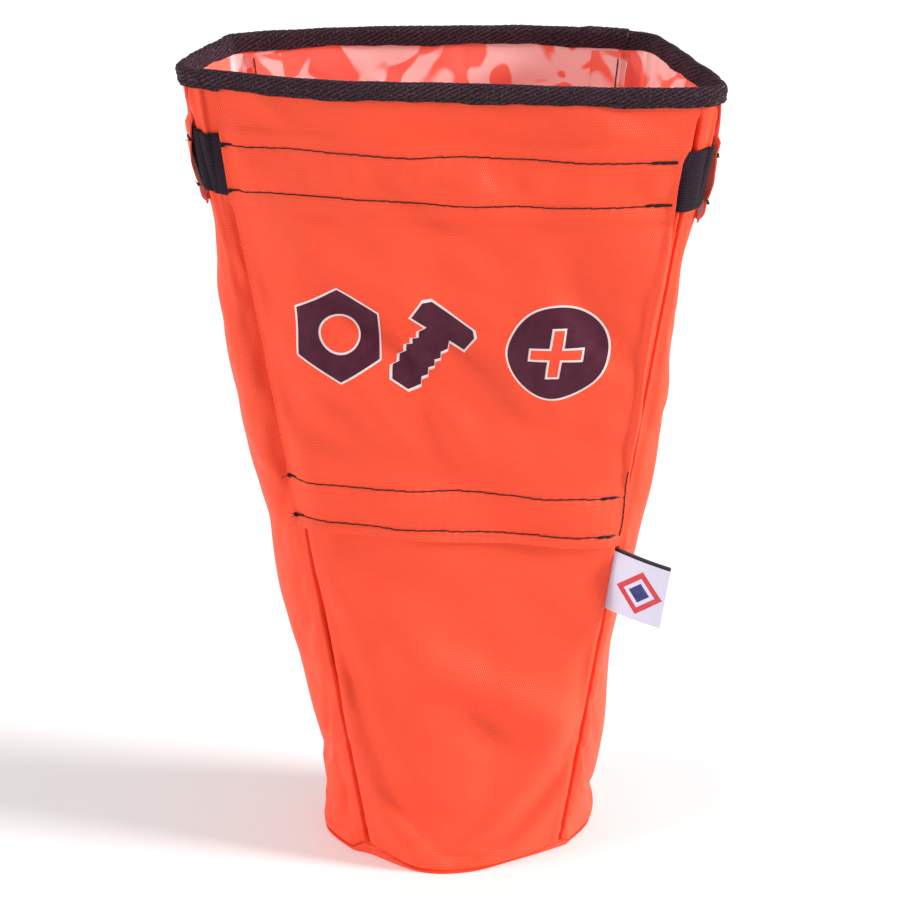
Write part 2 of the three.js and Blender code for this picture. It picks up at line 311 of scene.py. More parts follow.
def sample_drape(t, z):
    column = (t / ALL_ROUND * DRAPE_COLUMNS) % DRAPE_COLUMNS
    row = np.clip(z / HEIGHT, 0, 1) * (DRAPE_ROWS - 1)
    i, j = np.floor(column).astype(int), np.floor(row).astype(int)
    across, up = cubic_weights(column - i), cubic_weights(row - j)
    total = 0
    for a in range(4):
        for b in range(4):
            taps = drape[(i + a - 1) % DRAPE_COLUMNS, np.clip(j + b - 1, 0, DRAPE_ROWS - 1)]
            total = total + taps * (across[a] * up[b])[..., None]
    return total


def gusset_pleats(t, z):
    """The gussets are gathered under the rim binding: small upright pleats that die out below."""
    local = (t % 4) / 4
    reach = smooth(205, 285, z) * (1 - 0.5 * smooth(HEIGHT - 12, HEIGHT - 3, z))
    window = smooth(0.02, 0.12, local) * (1 - smooth(0.9, 0.99, local))
    wander = 0.35 * np.sin(z / 23 + 9 * local) + 0.2 * np.sin(z / 11 - 14 * local)
    ripples = np.sin(2 * math.pi * (local * 6.5) + wander * 2)
    ripples = ripples + 0.45 * np.sin(2 * math.pi * local * 11 + 1.3)
    folds = 0
    for station, height, before, after in PLEATS:
        x = around(t, station + 0.06 * np.sin(z / 19 + station))
        folds = folds + height * np.exp(-(x / np.where(x < 0, before, after)) ** 2)
    under_rim = smooth(258, 298, z)
    return np.where(on_gusset(t), (RIPPLE * ripples + folds * under_rim) * reach * window, 0)


def wall(t, z):
    base = loft(t, z) + sample_drape(t, z)
    step = 0.02
    along = unit(closed_spline(rim_controls, t + step) - closed_spline(rim_controls, t - step))
    outward = np.stack([along[..., 1], -along[..., 0], np.zeros_like(t)], -1)
    return base + outward * (gusset_pleats(t, z) + gusset_hang(t, z) + wall_crumple(t, z))[..., None]


def skin(t, z, out):
    """Points `out` millimetres outside the middle of the wall."""
    t, z, out = np.broadcast_arrays(np.asarray(t, float), np.asarray(z, float), np.asarray(out, float))
    across = wall(t + 0.012, z) - wall(t - 0.012, z)
    up = wall(t, z + 0.5) - wall(t, z - 0.5)
    return wall(t, z) + unit(np.cross(across, up)) * out[..., None]


# ---- Mesh helpers ---------------------------------------------------------------------------

def new_object(name, vertices, faces, materials, smooth_shading=True):
    mesh = bpy.data.meshes.new(name)
    mesh.from_pydata([tuple(v) for v in np.asarray(vertices) * MM], [], [tuple(f) for f in faces])
    for material in materials:
        mesh.materials.append(material)
    if smooth_shading:
        mesh.shade_smooth()
        mesh.set_sharp_from_angle(angle=math.radians(55))
    mesh.update()
    obj = bpy.data.objects.new(name, mesh)
    bpy.context.scene.collection.objects.link(obj)
    return obj


def set_uv(obj, uv_per_vertex, name="weave"):
    layer = obj.data.uv_layers.new(name=name)
    corners = np.empty(len(obj.data.loops), np.int32)
    obj.data.loops.foreach_get("vertex_index", corners)
    layer.data.foreach_set("uv", uv_per_vertex[corners].astype(np.float32).ravel())


def row_lengths(points):
    """Distance along each row of a grid, counted from its middle column."""
    steps = np.linalg.norm(np.diff(points, axis=0), axis=-1)
    lengths = np.concatenate([np.zeros((1, points.shape[1])), np.cumsum(steps, 0)])
    return lengths - lengths[len(lengths) // 2]


def sheet_from_grids(name, front, back, materials, closed=False):
    """A closed sheet between an outer and an inner grid of points [column, row]."""
    columns, rows = front.shape[:2]
    vertices = np.concatenate([front.reshape(-1, 3), back.reshape(-1, 3)])
    shift = columns * rows
    index = np.arange(shift).reshape(columns, rows)
    spans = columns if closed else columns - 1
    near, far = index[:spans], np.roll(index, -1, axis=0)[:spans]
    a, b, c, d = near[:, :-1], far[:, :-1], far[:, 1:], near[:, 1:]
    outer = np.stack([a, b, c, d], -1).reshape(-1, 4)
    inner = np.stack([a, d, c, b], -1).reshape(-1, 4) + shift
    borders = [(near[:, 0], far[:, 0]), (far[:, -1], near[:, -1])]
    if not closed:
        borders += [(index[0, 1:], index[0, :-1]), (index[-1, :-1], index[-1, 1:])]
    edges = [np.stack([p, p + shift, q + shift, q], -1) for p, q in borders]
    faces = np.concatenate([outer, inner, *edges])
    obj = new_object(name, vertices, faces.tolist(), materials)
    if len(materials) > 1:
        slots = np.zeros(len(faces), np.int32)
        slots[len(outer):2 * len(outer)] = 1
        obj.data.polygons.foreach_set("material_index", slots)
    lengths = row_lengths(front)
    uv = np.stack([lengths, front[..., 2]], -1).reshape(-1, 2) * MM
    set_uv(obj, np.concatenate([uv, uv]))
    return obj


def tube(points, radius, sides=6):
    """Vertices and faces of a closed round tube along points."""
    points = np.asarray(points, float)
    radius = np.broadcast_to(radius, len(points))
    tangents = unit(np.gradient(points, axis=0))
    helper = np.array([0.31, 0.17, 0.93]) if abs(tangents[0][2]) < 0.8 else np.array([0.9, 0.2, 0.1])
    side = unit(np.cross(tangents, helper))
    other = np.cross(tangents, side)
    angles = np.linspace(0, 2 * math.pi, sides, endpoint=False)
    ring = side[:, None] * np.cos(angles)[:, None] + other[:, None] * np.sin(angles)[:, None]
    vertices = (points[:, None] + ring * radius[:, None, None]).reshape(-1, 3)
    last = (len(points) - 1) * sides
    i, k = np.meshgrid(np.arange(0, last, sides), np.arange(sides), indexing="ij")
    n = (k + 1) % sides
    faces = np.stack([i + k, i + n, i + sides + n, i + sides + k], -1).reshape(-1, 4).tolist()
    faces += [list(range(sides))[::-1], list(range(last, last + sides))]
    return vertices, faces


class Bundle:
    """Several small closed solids gathered into one mesh."""

    def __init__(self):
        self.vertices, self.faces, self.count = [], [], 0

    def add(self, vertices, faces):
        self.vertices.append(vertices)
        self.faces += [tuple(i + self.count for i in face) for face in faces]
        self.count += len(vertices)

    def make(self, name, material):
        return new_object(name, np.concatenate(self.vertices), self.faces, [material])


# ---- Materials ------------------------------------------------------------------------------

class Shading:
    """One material, with a short way to add each kind of node it needs."""

    def __init__(self, name, roughness, **sockets):
        self.material = bpy.data.materials.new(name)
        self.material.use_nodes = True
        self.nodes = self.material.node_tree.nodes
        self.links = self.material.node_tree.links
        self.shader = self.nodes["Principled BSDF"]
        self.shader.inputs["Roughness"].default_value = roughness
        for socket, value in sockets.items():
            self.shader.inputs[socket.replace("_", " ")].default_value = value

    def link(self, value, socket="Base Color"):
        self.links.new(value, self.shader.inputs[socket])

    def math(self, operation, *values):
        node = self.nodes.new("ShaderNodeMath")
        node.operation = operation
        for socket, value in zip(node.inputs, values):
            if isinstance(value, (int, float)):
                socket.default_value = value
            else:
                self.links.new(value, socket)
        return node.outputs[0]

    def noise(self, vector, scale, detail=2.0, distortion=0.0):
        node = self.nodes.new("ShaderNodeTexNoise")
        node.inputs["Scale"].default_value = scale
        node.inputs["Detail"].default_value = detail
        node.inputs["Distortion"].default_value = distortion
        self.links.new(vector, node.inputs["Vector"])
        return node.outputs["Fac"]

    def mix(self, factor, first, second):
        node = self.nodes.new("ShaderNodeMix")
        node.data_type = "RGBA"
        for name, value in (("A", first), ("B", second)):
            socket = [s for s in node.inputs if s.name == name and s.type == "RGBA"][0]
            if isinstance(value, tuple):
                socket.default_value = (*value, 1)
            else:
                self.links.new(value, socket)
        self.links.new(factor, node.inputs["Factor"])
        return [s for s in node.outputs if s.type == "RGBA"][0]

    def remap(self, value, low, high, new_low=0.0, new_high=1.0):
        node = self.nodes.new("ShaderNodeMapRange")
        self.links.new(value, node.inputs["Value"])
        limits = {"From Min": low, "From Max": high, "To Min": new_low, "To Max": new_high}
        for socket, number in limits.items():
            node.inputs[socket].default_value = number
        return node.outputs["Result"]

    def bump(self, height, strength, distance):
        node = self.nodes.new("ShaderNodeBump")
        node.inputs["Strength"].default_value = strength
        node.inputs["Distance"].default_value = distance
        self.links.new(height, node.inputs["Height"])
        self.link(node.outputs["Normal"], "Normal")

    def weave_axes(self):
        """The cloth's own coordinates: the pair together, along the warp and along the weft."""
        uv = self.nodes.new("ShaderNodeUVMap")
        uv.uv_map = "weave"
        split = self.nodes.new("ShaderNodeSeparateXYZ")
        self.links.new(uv.outputs["UV"], split.inputs[0])
        return uv.outputs["UV"], split.outputs["X"], split.outputs["Y"]

    def turns(self, coordinate, pitch_mm):
        return self.math("MULTIPLY", coordinate, 2 * math.pi / (pitch_mm * MM))

    def wave(self, coordinate, pitch_mm):
        return self.math("SINE", self.turns(coordinate, pitch_mm))

    def oxford(self, vector, x, y):
        """Height of the oxford weave: weft ribs along x, broken up by the warp."""
        y = self.math("ADD", y, self.math("MULTIPLY", self.noise(vector, 90), 0.3 * MM))
        checks = self.math("MULTIPLY", self.wave(x, WARP_PITCH), self.wave(y, WEFT_PITCH * 2))
        return self.math("ADD", self.math("MULTIPLY", self.wave(y, WEFT_PITCH), 0.55), checks)


WARP_PITCH, WEFT_PITCH = 0.78, 1.04  # millimetres


def fabric_material():
    m = Shading("coated_fabric", 0.52, Specular_IOR_Level=0.3, Sheen_Weight=0.12, Sheen_Roughness=0.35,
                Sheen_Tint=(1.0, 0.45, 0.3, 1))
    vector, x, y = m.weave_axes()
    height = m.oxford(vector, x, y)
    cloudy = m.remap(m.noise(vector, 14, 3), 0.3, 0.7)
    ground = m.mix(cloudy, (0.94, 0.078, 0.026), (0.97, 0.096, 0.037))
    # painted shade: the weave's hollows are coloured darker than its ribs
    m.link(m.mix(m.remap(height, -1.4, 1.6), (0.9, 0.062, 0.019), ground))
    m.link(m.remap(m.noise(vector, 60), 0.3, 0.7, 0.47, 0.58), "Roughness")
    m.bump(height, 0.6, 0.11 * MM)
    return m.material


def lining_material():
    """The coated face: glossy film with pale patches painted in as reflections of the lamps. Its faint
    glow is painted light too: it stands for the light that comes through the thin wall."""
    m = Shading("coated_lining", 0.2, Specular_IOR_Level=0.5, Coat_Weight=0.6, Coat_Roughness=0.08,
                Emission_Strength=0.1)
    vector, _, _ = m.weave_axes()
    # painted reflection: pale patches standing in for the lamps mirrored in the glossy coat
    painted_reflection = m.remap(m.noise(vector, 34, 1.0, 1.6), 0.485, 0.515)
    color = m.mix(painted_reflection, (1.0, 0.17, 0.12), (1.0, 0.58, 0.55))
    m.link(color)
    # painted glow: the lining gives off its own colour as light, for the light that comes through the wall
    m.link(color, "Emission Color")
    m.bump(m.noise(vector, 55, 1.0, 0.8), 0.5, 2 * MM)
    return m.material


def tape_material():
    m = Shading("binding_tape", 0.8, Specular_IOR_Level=0.1, Sheen_Weight=0.05,
                Sheen_Tint=(0.7, 0.6, 0.7, 1))
    vector, x, y = m.weave_axes()
    yarn = m.noise(vector, 1300, 2)
    # painted highlight and shade: the twill's ribs are coloured paler on their crests and darker between
    # them; tint varies this at random
    twill = m.math("SINE", m.math("ADD", m.turns(x, RIB_SPACING), m.turns(y, RIB_RISE)))
    tint = m.remap(m.noise(vector, 120, 3), 0.35, 0.65, 0.5, 1.0)
    shade = m.math("MULTIPLY", m.remap(twill, -0.6, 1.0), tint)
    color = m.mix(shade, (0.021, 0.009, 0.013), (0.064, 0.031, 0.042))
    m.link(m.mix(m.remap(yarn, 0.56, 0.7), color, (0.11, 0.07, 0.09)))
    m.bump(yarn, 0.8, 0.3 * MM)
    return m.material


def webbing_material():
    m = Shading("webbing", 0.75, Specular_IOR_Level=0.14, Sheen_Weight=0.04)
    _, x, y = m.weave_axes()
    height = m.math("ADD", m.wave(y, 0.9), m.math("MULTIPLY", m.wave(x, 1.1), 0.7))
    # painted shade and highlight: the weave's hollows are coloured darker and its crossings paler
    m.link(m.mix(m.remap(height, -1.5, 1.6), (0.006, 0.003, 0.007), (0.034, 0.016, 0.03)))
    m.bump(height, 0.6, 0.2 * MM)
    return m.material


def thread_material():
    m = Shading("thread", 0.6, Specular_IOR_Level=0.3)
    twist = m.noise(m.nodes.new("ShaderNodeTexCoord").outputs["Object"], 1800, 1)
    m.link(m.mix(m.remap(twist, 0.35, 0.65), (0.01, 0.003, 0.004), (0.03, 0.01, 0.012)))
    m.bump(twist, 0.6, 0.1 * MM)
    return m.material


def film_material(name, dark, pale, roughness):
    """Heat-transfer film: thin enough to take up the weave beneath it."""
    m = Shading(name, roughness, Specular_IOR_Level=0.2)
    vector, x, y = m.weave_axes()
    m.link(m.mix(m.remap(m.noise(vector, 220, 4), 0.35, 0.7), dark, pale))
    m.bump(m.oxford(vector, x, y), 0.3, 0.06 * MM)
    return m.material


def satin_material(name, dark, pale):
    m = Shading(name, 0.34, Specular_IOR_Level=0.5, Sheen_Weight=0.2)
    _, x, y = m.weave_axes()
    floats = m.math("ADD", m.wave(y, 0.32), m.wave(x, 0.9))
    # painted highlight and shade: the floats are coloured paler on their crests and darker between them
    m.link(m.mix(m.remap(floats, -1.6, 1.8), dark, pale))
    m.bump(floats, 0.3, 0.05 * MM)
    return m.material


def floor_material():
    m = Shading("pale_floor", 0.85, Specular_IOR_Level=0.1, Emission_Strength=0.16,
                Emission_Color=(1, 1, 1, 1))
    tone = m.remap(m.noise(m.nodes.new("ShaderNodeTexCoord").outputs["Object"], 3, 2), 0.3, 0.7)
    m.link(m.mix(tone, (0.93, 0.93, 0.94), (0.95, 0.95, 0.95)))
    return m.material


fabric = fabric_material()
lining = lining_material()
tape = tape_material()
webbing = webbing_material()
thread = thread_material()
print_film = film_material("emblem_print", (0.06, 0.006, 0.02), (0.082, 0.01, 0.03), 0.42)
outline_film = film_material("emblem_outline", (0.78, 0.62, 0.6), (0.84, 0.7, 0.68), 0.5)
label_satin = satin_material("label_satin", (0.66, 0.64, 0.8), (0.76, 0.74, 0.88))
label_dark = satin_material("label_backing", (0.012, 0.01, 0.014), (0.03, 0.026, 0.034))
label_red = film_material("label_red", (0.62, 0.05, 0.07), (0.7, 0.09, 0.11), 0.45)
label_navy = film_material("label_navy", (0.035, 0.04, 0.17), (0.06, 0.07, 0.24), 0.45)


# ---- Camera, light and floor ----------------------------------------------------------------

CAMERA_DISTANCE = 1.15
CAMERA_ELEVATION = math.radians(25)
CAMERA_TARGET = Vector((0, 0, 0.168))
CAMERA_LENS, CAMERA_SENSOR = 119.5, 36  # millimetres
WORLD_STRENGTH = 0.52
# Name, direction it comes from, power, spread in degrees.
LIGHTS = (("key", (1.5, -0.26, 0.5), 4.2, 14), ("fill", (-1.5, -0.48, 0.3), 1.5, 25))
FLOOR_HALF = 4.0 / MM


def make_camera():
    data = bpy.data.cameras.new("camera")
    data.lens = CAMERA_LENS
    data.sensor_width = CAMERA_SENSOR
    camera = bpy.data.objects.new("camera", data)
    back = Vector((0, -math.cos(CAMERA_ELEVATION), math.sin(CAMERA_ELEVATION)))
    camera.location = CAMERA_TARGET + back * CAMERA_DISTANCE
    camera.rotation_euler = (math.pi / 2 - CAMERA_ELEVATION, 0, 0)
    bpy.context.scene.collection.objects.link(camera)
    bpy.context.scene.camera = camera


def sun_light(name, direction, power, spread):
    data = bpy.data.lights.new(name, "SUN")
    data.angle = math.radians(spread)
    data.energy = power
    light = bpy.data.objects.new(name, data)
    light.location = CAMERA_TARGET + Vector(direction)
    light.rotation_euler = (-Vector(direction)).to_track_quat("-Z", "Y").to_euler()
    bpy.context.scene.collection.objects.link(light)


def make_stage():
    world = bpy.data.worlds.new("studio")
    world.use_nodes = True
    background = world.node_tree.nodes["Background"]
    background.inputs["Color"].default_value = (1, 1, 1, 1)
    background.inputs["Strength"].default_value = WORLD_STRENGTH
    bpy.context.scene.world = world
    bpy.context.scene.view_settings.view_transform = "Standard"
    for light in LIGHTS:
        sun_light(*light)
    corners = [(x * FLOOR_HALF, y * FLOOR_HALF, 0) for x, y in ((-1, -1), (1, -1), (1, 1), (-1, 1))]
    floor = new_object("floor", corners, [(0, 1, 2, 3)], [floor_material()], smooth_shading=False)


# ---- Draping the wall -----------------------------------------------------------------------

SIM_FRAMES = 26
DRAPE_CAP = 4.0  # millimetres


def drape_weights(t, z):
    """How firmly each point is held: bound rim, base seam, corner seams and the webbing band."""
    weight = np.zeros_like(z)
    band = (z > WEBBING_LOW) & (z < WEBBING_HIGH)
    weight[band] = 0.35
    weight = np.maximum(weight, 0.5 * (seam_distance(t, z) < 2.2))
    weight[(z > HEIGHT - 9) | (z < 2)] = 1.0
    return weight


def simulate_drape():
    stations = np.arange(DRAPE_COLUMNS) * ALL_ROUND / DRAPE_COLUMNS
    heights = np.linspace(0, HEIGHT, DRAPE_ROWS)
    t, z = np.meshgrid(stations, heights, indexing="ij")
    rest = loft(t, z)
    index = np.arange(t.size).reshape(t.shape)
    following = np.roll(index, -1, axis=0)
    faces = np.stack([index[:, :-1], following[:, :-1], following[:, 1:], index[:, 1:]], -1).reshape(-1, 4)
    body = new_object("drape_body", rest.reshape(-1, 3), faces.tolist(), [])
    held = body.vertex_groups.new(name="held")
    weights = drape_weights(t, z).ravel()
    for level in np.unique(weights):
        held.add(np.nonzero(weights == level)[0].tolist(), float(level), "REPLACE")
    cloth = body.modifiers.new("cloth", "CLOTH")
    settings = cloth.settings
    settings.quality = 6
    settings.mass = 0.25
    settings.tension_stiffness = 18
    settings.compression_stiffness = 12
    settings.shear_stiffness = 6
    settings.bending_stiffness = 2.5
    settings.shrink_min = -0.0035
    settings.vertex_group_mass = "held"
    settings.use_pressure = True
    settings.uniform_pressure_force = 0.01
    settings.effector_weights.gravity = 0.25
    cloth.collision_settings.use_collision = False
    cloth.point_cache.frame_end = SIM_FRAMES
    scene = bpy.context.scene
    for number in range(1, SIM_FRAMES + 1):
        scene.frame_set(number)
    evaluated = body.evaluated_get(bpy.context.evaluated_depsgraph_get())
    moved = np.array([v.co for v in evaluated.data.vertices]).reshape(*t.shape, 3) / MM
    scene.frame_set(1)
    bpy.data.objects.remove(body)
    shift = moved - rest
    size = np.linalg.norm(shift, axis=-1, keepdims=True)
    shift *= np.minimum(1, DRAPE_CAP / np.maximum(size, 1e-6))
    for _ in range(2):
        shift = (shift * 2 + np.roll(shift, 1, 0) + np.roll(shift, -1, 0)) / 4
    return shift


make_camera()
make_stage()
drape = simulate_drape()


# ---- Walls and base -------------------------------------------------------------------------

CREASE_ON_GUSSET, CREASE_ON_PANEL = 0.5, 0.8  # half widths of the turned-in edges
VALLEY_LEFT, VALLEY_RIGHT = 3.2, 1.3  # depths of the gussets' valleys beside the front seams
VALLEY_REACH = 2.2  # from the seam to the bottom of the valley
RIDGE_ON_GUSSET, RIDGE_ON_PANEL = 0.3, 0.7  # heights of the ridges beside the front seams, low down
BASE_GROOVE = 1.4


def tuck(t, z):
    """Panels turn in at the corner seams, pucker between the stitches, and dip in at the base seam."""
    distance = seam_distance(t, z)
    gusset = on_gusset(t)
    pucker = 1 + 0.06 * np.sin(2 * math.pi * z / 8.7) + 0.05 * np.sin(z / 2.9 + t)
    width = np.where(gusset, CREASE_ON_GUSSET, CREASE_ON_PANEL)
    crease = -SEAM_TUCK * hump(0, width, distance) * pucker
    crease = crease * (1 - smooth(HEIGHT - 16, HEIGHT - 9, z))
    lean = distance / VALLEY_REACH
    depth = VALLEY_LEFT * hump(0, 2, around(t, 0)) + VALLEY_RIGHT * hump(0, 2, around(t, 4))
    depth = depth * (1 - smooth(262, 288, z)) * smooth(130, 170, z)
    valley = np.where(gusset, -depth * lean * np.exp(1 - lean), 0)
    beyond = (hump(0, 1, around(t, 4)) + hump(0, 1, around(t, 0))) * hump(4.0, 2.2, distance)
    ridge = np.where(gusset, RIDGE_ON_GUSSET, RIDGE_ON_PANEL) * beyond * (1 - smooth(140, 160, z))
    hem = -BASE_GROOVE * hump(0, 1.0, z - base_lift(t))
    return crease + valley + ridge + hem


PANEL_ROWS = 230


def make_panel(name, start, end, columns):
    even = np.linspace(0, 1, columns)
    closer_at_seams = even - 0.72 * np.sin(2 * math.pi * even) / (2 * math.pi)
    stations = start + (end - start) * closer_at_seams
    t, share = np.meshgrid(stations, np.linspace(0, 1, PANEL_ROWS), indexing="ij")
    bottom, top = base_lift(t), HEIGHT - 2.4  # just short of the fold of the binding
    z = bottom + (top - bottom) * (0.25 * share ** 2 + 0.75 * share)
    offset = tuck(t, z)
    front = skin(t, z, offset + FABRIC / 2)
    back = skin(t, z, offset - FABRIC / 2)
    return sheet_from_grids(name, front, back, [fabric, lining])


def across_fold(piece):
    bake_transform(piece)


def make_walls():
    gap = 0.004
    front = make_panel("front_panel_cloth", FRONT_LEFT + gap, FRONT_RIGHT - gap, 150)
    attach(front, "front_wall")
    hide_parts("front_panel")
    back = make_panel("back_panel_cloth", BACK_RIGHT + gap, BACK_LEFT - gap, 130)
    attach(back, "pouch")
    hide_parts("back_panel")
    right = make_panel("right_gusset_cloth", FRONT_RIGHT + gap, BACK_RIGHT - gap, 130)
    left = make_panel("left_gusset_cloth", BACK_LEFT + gap, ALL_ROUND - gap, 130)
    for piece, node in ((right, "right_gusset"), (left, "left_gusset")):
        across_fold(piece)
        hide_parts(node)


# The tray's turned-up edge, from the seam down: millimetres out, share of the lift, millimetres up.
BASE_RINGS = ((-2.0, 1, 1.6), (-1.6, 1, 0.0), (-0.6, 0.88, 0), (-0.1, 0.7, 0), (-0.1, 0.35, 0),
              (-0.2, 0.1, 0), (-0.7, 0.02, 0), (-3.0, 0, 0))


def make_base():
    """A shallow tray: flat on the floor, its edge turned up to meet the walls."""
    stations = np.linspace(0, ALL_ROUND, 480, endpoint=False)
    lift = base_lift(stations)
    rings = []
    for out, share, extra in BASE_RINGS:
        rings.append(skin(stations, lift * share + extra, np.full_like(stations, out)))
        rings[-1][:, 2] = lift * share + extra
    edge = rings[-1]
    centre = edge.mean(0)
    for share in (0.8, 0.6, 0.4, 0.2, 0.04):
        rings.append(centre + (edge - centre) * share)
    outer = np.stack(rings, 1)
    inner = outer.copy()
    towards = centre - outer
    towards[..., 2] = 0
    towards /= np.maximum(np.linalg.norm(towards, axis=-1, keepdims=True), 1e-6)
    inner[:, :7] += towards[:, :7] * FABRIC * 0.8
    inner[:, 6:, 2] += FABRIC
    # rings run inward, so the underside faces down when columns run clockwise
    piece = sheet_from_grids("base_cloth", outer[::-1], inner[::-1], [fabric, lining], closed=True)
    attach(piece, "pouch")
    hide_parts("base_panel")


make_walls()
make_base()

# ---- Overlays -------------------------------------------------------------------------------

ROWS_OVER_WEBBING = (row_height("apron_thread_lower"), row_height("apron_thread_upper"))
HEM_ROWS = (row_height("hem_thread_lower"), row_height("hem_thread_upper"))


def over_webbing(z):
    above_low = smooth(WEBBING_LOW - 3.4, WEBBING_LOW - 0.8, z)
    return above_low * (1 - smooth(WEBBING_HIGH + 0.8, WEBBING_HIGH + 3.6, z))


def pulled_down(z, rows, depth=0.4, width=1.2):
    return sum(-depth * hump(row, width, z) for row in rows)


def webbing_rows_out(t, z):
    """Middle of an overlay above the middle of the wall, where it covers the webbing."""
    rise = 0.75 + over_webbing(z) * (WEBBING_THICKNESS + 0.15)
    between = hump(sum(ROWS_OVER_WEBBING) / 2, 6.5, z)
    quilt = between * never_below(0.25 + crumple(t * 40, z, 23, 0.6, 10, 26, 0.22), 0.05)
    pucker = 0.07 * np.sin(t * 61) * (hump(ROWS_OVER_WEBBING[0], 4, z) + hump(ROWS_OVER_WEBBING[1], 4, z))
    return rise + quilt + pucker + pulled_down(z, ROWS_OVER_WEBBING)


def slack(t, z):
    """The apron's loose middle: broad diagonal undulations between the two sewn bands."""
    free = smooth(HEM_ROWS[1] + 2, HEM_ROWS[1] + 30, z)
    free = free * (1 - smooth(ROWS_OVER_WEBBING[0] - 34, ROWS_OVER_WEBBING[0] - 3, z))
    sides = smooth(0.0, 0.7, t) * (1 - smooth(3.3, 3.95, t))
    s = t * 40
    broad = np.sin((s + 0.8 * z) / 23 + 0.6) + 0.7 * np.sin((s - 0.5 * z) / 17 + 2.0)
    folds = crumple(s, z, 11, 0.75, 16, 46, 0.36, count=9)
    folds = folds * smooth(-0.1, 0.5, t) * (1 - smooth(3.4, 3.95, t))
    return free * never_below((1.2 + 0.5 * broad) * (0.35 + 0.65 * sides) + folds)


def apron_out(t, z):
    """Middle of the apron above the middle of the wall."""
    hem = 1 - smooth(HEM_ROWS[1] + 1.5, HEM_ROWS[1] + 4.5, z)
    turned_up = 0.6 * hem + 0.5 * hem * hump(sum(HEM_ROWS) / 2, 5.5, z) * (1 + 0.3 * np.sin(t * 7.7))
    lip = 1.3 * hump(APRON_HEM, 3.2, z) * (1 + 0.35 * np.sin(t * 4.3 + 1))
    pucker = 0.07 * np.sin(t * 57 + 1) * sum(hump(row, 4, z) for row in HEM_ROWS)
    left, right = np.interp(z, *apron_left), np.interp(z, *apron_right)
    below = smooth(HEM_ROWS[1], HEM_ROWS[1] + 20, z) * (1 - smooth(WEBBING_LOW - 12, WEBBING_LOW, z))
    rolled = 1.5 * below * hump(0.05, 0.042, right - t)
    side_fold = 0.35 * hump(0, 0.045, t - left) + 0.45 * hump(0, 0.08, right - t) + rolled
    above = never_below(crumple(t * 40, z, 17, 0.7, 14, 36, 0.26))
    above = above * smooth(WEBBING_HIGH, WEBBING_HIGH + 6, z)
    above = above * (1 - 0.6 * smooth(HEIGHT - 12, HEIGHT - 6, z))
    return (webbing_rows_out(t, z) + slack(t, z) + turned_up + lip + pucker + side_fold
            + above + pulled_down(z, HEM_ROWS))


def apron_height(t, z):
    """True height of a point of the apron, whose rows run a little out of level."""
    hem = 0.9 - 5.2 * np.clip(t / 4, 0, 1) ** 1.5
    band = 1.3 * hump(0.9, 0.8, t) - 0.4
    return z + hem * (1 - smooth(HEM_ROWS[1] + 3, HEM_ROWS[1] + 36, z)) + band * hump(289, 20, z)


def on_apron(t, z, out):
    return skin(t, apron_height(t, z), apron_out(t, z) + FABRIC / 2 + out)


def uneven(low, high, count, dense):
    """Heights from low to high with extra ones around each sewn row."""
    heights = list(np.linspace(low, high, count))
    for row in dense:
        heights += list(np.linspace(row - 3.2, row + 3.2, 11))
    heights = np.unique(np.round([h for h in heights if low <= h <= high], 2))
    keep = [heights[0]]
    for h in heights[1:]:
        if h - keep[-1] > 0.35:
            keep.append(h)
    return np.array(keep)


def make_apron():
    heights = uneven(APRON_HEM, HEIGHT - 2.6, 120, (*ROWS_OVER_WEBBING, *HEM_ROWS))
    share, z = np.meshgrid(np.linspace(0, 1, 200), heights, indexing="ij")
    left, right = np.interp(z, *apron_left), np.interp(z, *apron_right)
    t = left + (right - left) * share
    piece = sheet_from_grids("apron_cloth", on_apron(t, z, 0), on_apron(t, z, -FABRIC), [fabric, lining])
    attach(piece, "front_wall")
    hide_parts("front_apron")


def on_yoke(t, z, out):
    lifted = hump(0, 0.13, t - np.interp(z, *yoke_start)) + hump(0, 0.13, t - np.interp(z, *yoke_end))
    flare = 1.2 * lifted * (1 - smooth(HEIGHT - 22, HEIGHT - 8, z)) * (1 + 0.15 * np.sin(z / 4.1))
    return skin(t, z, webbing_rows_out(t, z) + 0.2 + flare + FABRIC / 2 + out)


def make_yoke():
    heights = uneven(YOKE_HEM, HEIGHT - 2.6, 42, ROWS_OVER_WEBBING)
    share, z = np.meshgrid(np.linspace(0, 1, 420), heights, indexing="ij")
    start, end = np.interp(z, *yoke_start), np.interp(z, *yoke_end)
    t = start + (end - start) * share
    piece = sheet_from_grids("yoke_cloth", on_yoke(t, z, 0), on_yoke(t, z, -FABRIC), [fabric, lining])
    across_fold(piece)
    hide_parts("back_yoke")


def make_webbing():
    low = WEBBING_LOW + 1.6
    width = WEBBING_HIGH - 0.4 - low
    heights = low + np.concatenate([[0, 0.35], np.linspace(0.9, width - 0.9, 40), [width - 0.35, width]])
    t, z = np.meshgrid(np.linspace(0, ALL_ROUND, 900, endpoint=False), heights, indexing="ij")
    from_edge = np.minimum(z - low, low + width - z)
    half = WEBBING_THICKNESS / 2 * np.sqrt(np.clip(1 - (1 - np.clip(from_edge / 0.8, 0, 1)) ** 2, 0.09, 1))
    rib = 0.05 * np.cos(2 * math.pi * (z - low) / (width / 17)) * (1 + np.sin(t * 190))
    middle = FABRIC / 2 + 0.12 + WEBBING_THICKNESS / 2
    z = z + 0.4 * np.sin(t * 7 + 2)
    piece = sheet_from_grids("webbing_strap", skin(t, z, middle + half + rib), skin(t, z, middle - half),
                             [webbing], closed=True)
    across_fold(piece)
    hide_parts("webbing_band")


make_apron()
make_yoke()
make_webbing()

# ---- Rim binding ----------------------------------------------------------------------------

def arc_stations(z, count):
    """Stations spread evenly by length round the wall at one height, and that length."""
    t = np.linspace(0, ALL_ROUND, 4001)
    points = loft(t, np.full_like(t, z))
    lengths = travelled(points)
    even = np.linspace(0, lengths[-1], count, endpoint=False)
    return np.interp(even, lengths, t), even, lengths[-1]


